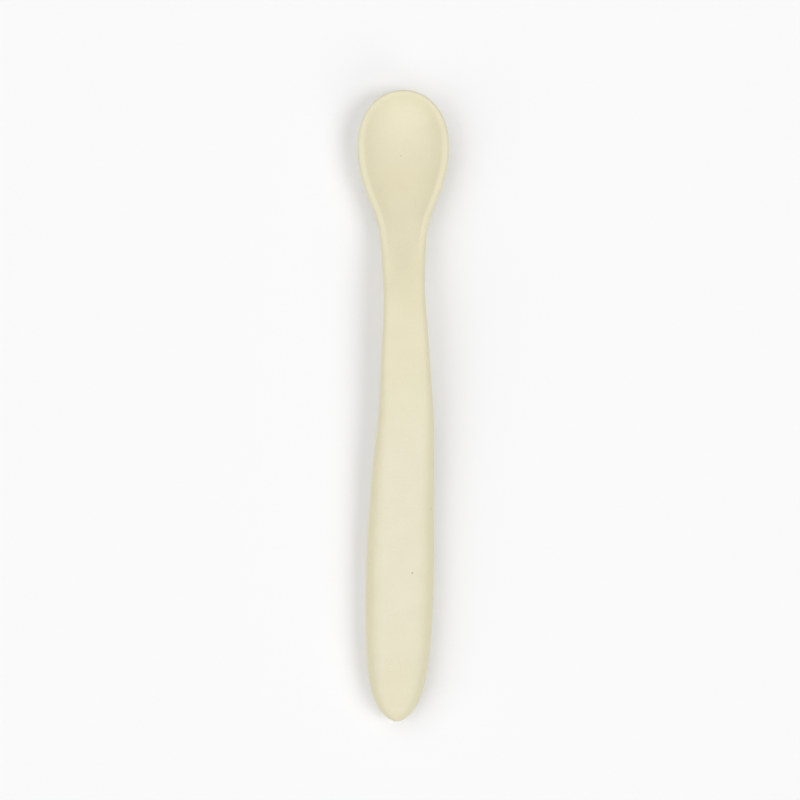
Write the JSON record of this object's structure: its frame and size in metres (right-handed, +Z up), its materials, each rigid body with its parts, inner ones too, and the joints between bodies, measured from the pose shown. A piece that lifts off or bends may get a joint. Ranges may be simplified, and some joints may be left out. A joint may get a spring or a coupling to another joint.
{
  "type": "baby spoon",
  "caption": "Long-handled baby spoon with a small soft bowl, a slim neck and a thick rounded handle: silicone moulded over a stiff core.",
  "frame": {"origin": "on the table, under the middle of the length and the centre line of the bowl", "axes": "+Y along the spoon to the nose of the bowl, +X across it, +Z up out of the hollow"},
  "size_m": [0.0248, 0.17, 0.0115],
  "materials": {
    "silicone": "very matte, soft-touch silicone",
    "core_plastic": "plain moulded"
  },
  "bodies": {
    "root": {"silicone_body": "silicone", "stiffening_core": "core_plastic"}
  },
  "joints": []
}
